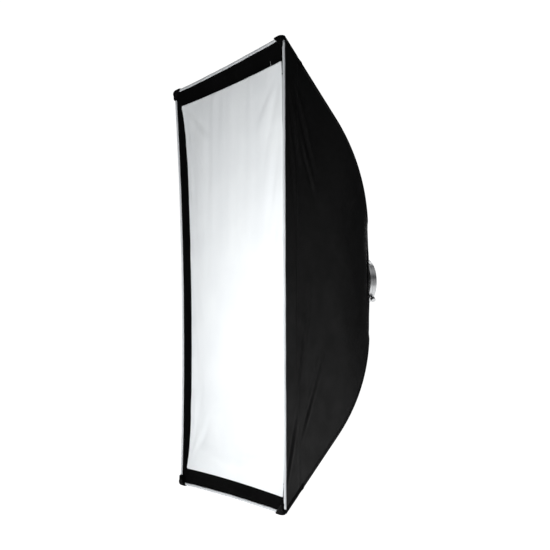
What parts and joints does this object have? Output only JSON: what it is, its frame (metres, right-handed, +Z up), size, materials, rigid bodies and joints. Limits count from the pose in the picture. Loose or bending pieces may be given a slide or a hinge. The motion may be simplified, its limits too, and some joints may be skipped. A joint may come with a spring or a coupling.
{
  "type": "rectangular softbox",
  "caption": "Rectangular cloth softbox with four sprung rods, white front and inner diffusers, and a bayonet ring on which it rotates and locks.",
  "frame": {"origin": "centre of the bayonet ring's rear face, where the lamp seats", "axes": "+Y along the ring's axis back to the lamp, so the lit front faces -Y; +Z up the 900 mm side; +X to the right as seen from the front"},
  "size_m": [0.605, 0.3348, 0.905],
  "materials": {
    "black_cloth": "woven black nylon, silvered inside",
    "black_webbing": "heavy black nylon",
    "black_loop": "brushed black loop tape",
    "grey_binding": "pale grey woven tape",
    "white_cloth": "white diffusion cloth",
    "white_hook": "white hook tape",
    "white_elastic": "white elastic webbing",
    "ring_metal": "turned aluminium, satin",
    "socket_metal": "cast aluminium",
    "rod_steel": "spring steel",
    "screw_steel": "zinc plated",
    "black_plastic": "moulded",
    "nylon": "natural nylon"
  },
  "bodies": {
    "mount": {"bayonet_ring": "ring_metal", "retaining_ring": "ring_metal", "retaining_screws": "screw_steel", "wear_washer": "nylon"},
    "softbox": {"speedring": "ring_metal", "socket_screws": "screw_steel", "rod_socket_top_right": "socket_metal", "rod_socket_top_left": "socket_metal", "rod_socket_bottom_left": "socket_metal", "rod_socket_bottom_right": "socket_metal", "rod_top_right": "rod_steel", "rod_top_left": "rod_steel", "rod_bottom_left": "rod_steel", "rod_bottom_right": "rod_steel", "rod_sleeve_top_right": "black_cloth", "rod_sleeve_top_left": "black_cloth", "rod_sleeve_bottom_left": "black_cloth", "rod_sleeve_bottom_right": "black_cloth", "rod_tip_top_right": "black_plastic", "rod_tip_top_left": "black_plastic", "rod_tip_bottom_left": "black_plastic", "rod_tip_bottom_right": "black_plastic", "shell_panel_top": "black_cloth", "shell_panel_bottom": "black_cloth", "shell_panel_left": "black_cloth", "shell_panel_right": "black_cloth", "rear_collar": "black_cloth", "corner_pocket_top_right": "black_webbing", "corner_pocket_top_left": "black_webbing", "corner_pocket_bottom_left": "black_webbing", "corner_pocket_bottom_right": "black_webbing", "rim_binding_top": "grey_binding", "rim_binding_bottom": "grey_binding", "rim_binding_left": "grey_binding", "rim_binding_right": "grey_binding", "loop_band_top": "black_loop", "loop_band_bottom": "black_loop", "loop_band_left": "black_loop", "loop_band_right": "black_loop", "inner_baffle": "white_cloth", "baffle_straps": "white_elastic", "strap_tabs": "black_loop"},
    "diffuser": {"front_diffuser": "white_cloth", "diffuser_hook_tape": "white_hook"},
    "lock_slider": {"lock_pad": "nylon"},
    "lock_screw": {"lock_stud": "screw_steel", "lock_knob": "ring_metal"}
  },
  "joints": [
    {"name": "softbox_swivel", "type": "hinge", "parent": "mount", "child": "softbox", "pos_m": [0, -0.02, 0], "axis": [0, 1, 0], "continuous": true},
    {"name": "diffuser_release", "type": "slide", "parent": "softbox", "child": "diffuser", "axis": [0, -1, 0], "range_m": [0, 0.12]},
    {"name": "lock_travel", "type": "slide", "parent": "mount", "child": "lock_slider", "axis": [0.7071, 0, -0.7071], "range_m": [0, 0.0016]},
    {"name": "lock_turn", "type": "hinge", "parent": "lock_slider", "child": "lock_screw", "pos_m": [0.03889, -0.0054, -0.03889], "axis": [0.7071, 0, -0.7071], "range_deg": [0, 720]}
  ],
  "couplings": [
    {"joint": "lock_turn", "follows": "lock_travel", "rad_per_m": 7854}
  ]
}
